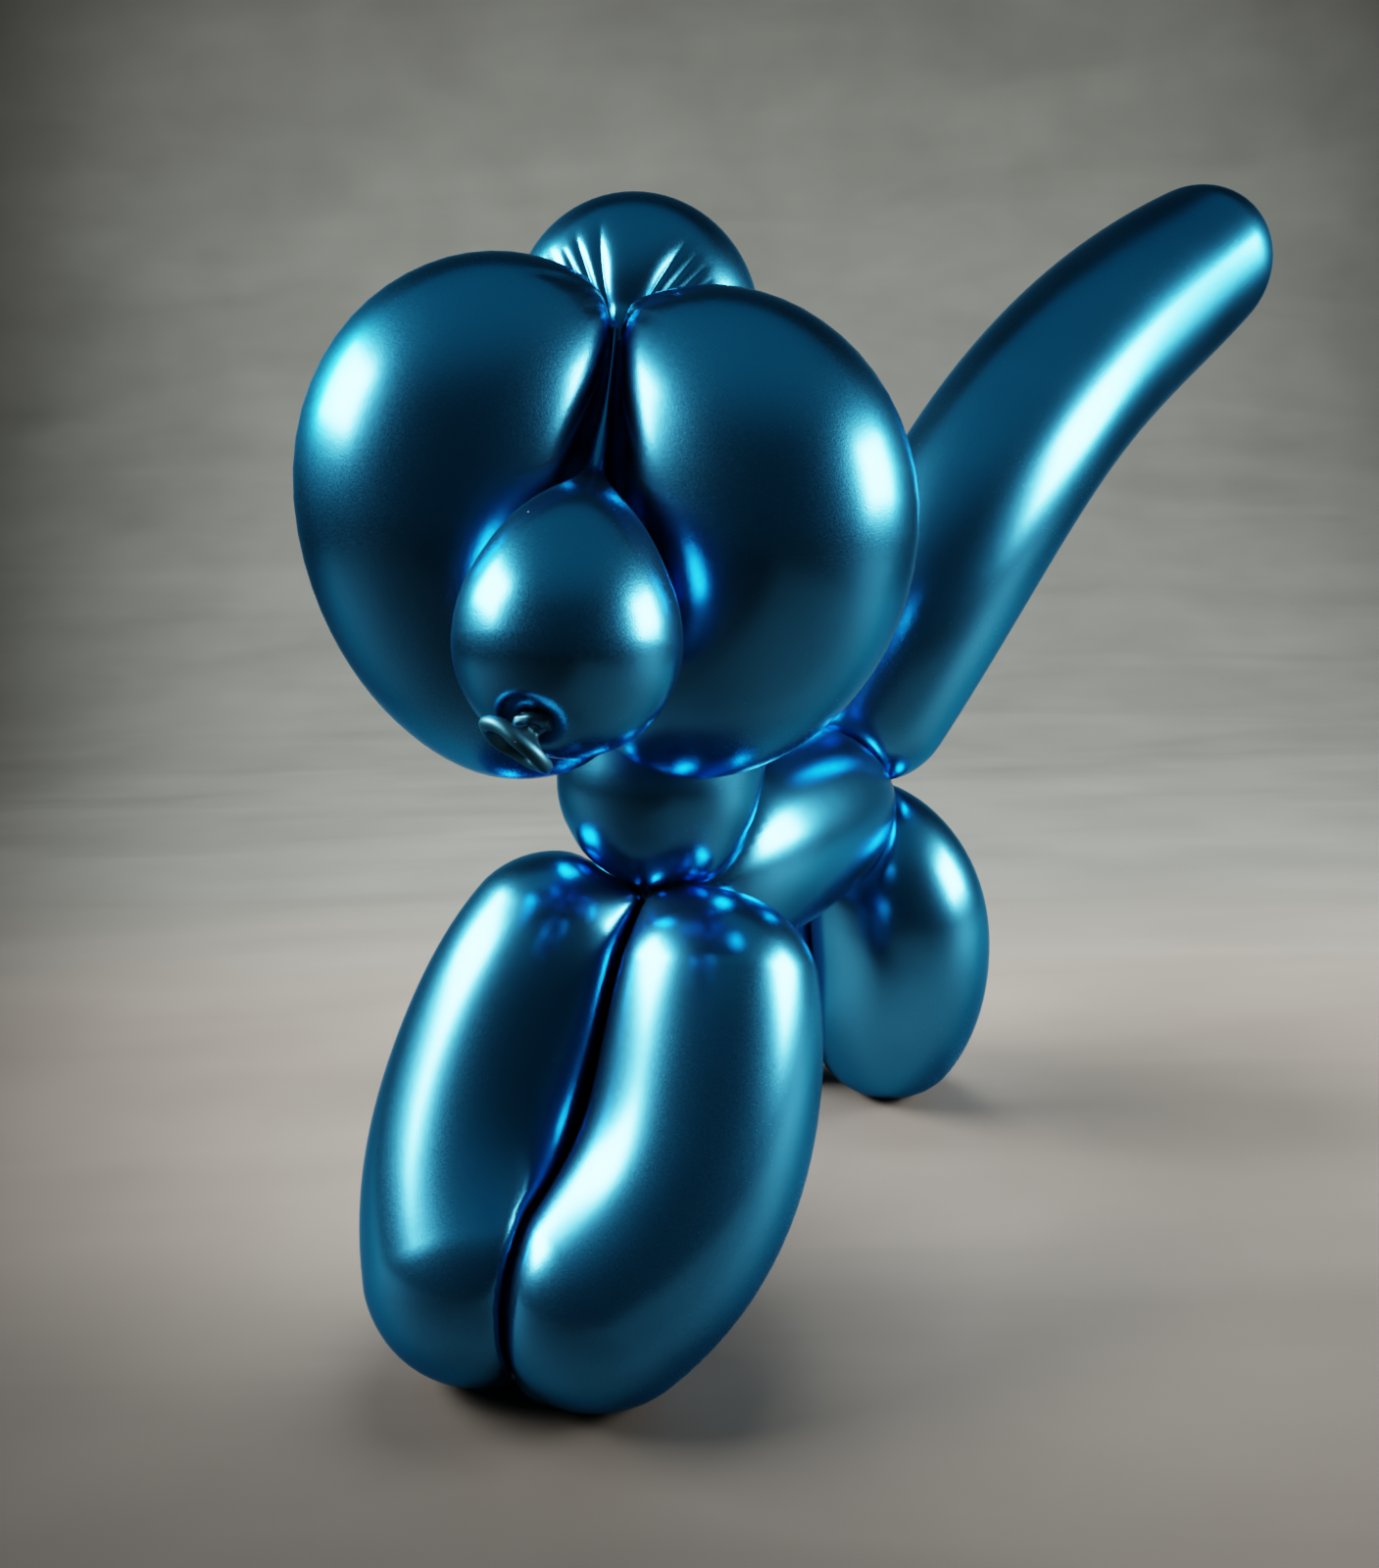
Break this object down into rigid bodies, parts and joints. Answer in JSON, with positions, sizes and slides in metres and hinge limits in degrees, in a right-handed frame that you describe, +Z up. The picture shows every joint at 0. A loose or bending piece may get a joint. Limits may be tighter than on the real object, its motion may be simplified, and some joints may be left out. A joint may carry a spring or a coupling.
{
  "type": "balloon dog",
  "caption": "Dog twisted from one long metallic latex balloon: nose with knot, ear bubbles, neck, leg pairs, body and a long raised tail.",
  "frame": {"origin": "on the surface the dog stands on, under the middle of its box", "axes": "+Y from the head towards the tail, so the dog faces -Y, +Z up, +X towards the dog's left side"},
  "size_m": [0.1363, 0.3402, 0.2485],
  "materials": {
    "latex": "pearly metallic blue latex, stretched smooth, satin to glossy"
  },
  "bodies": {
    "root": {"balloon_dog": "latex"}
  },
  "joints": []
}
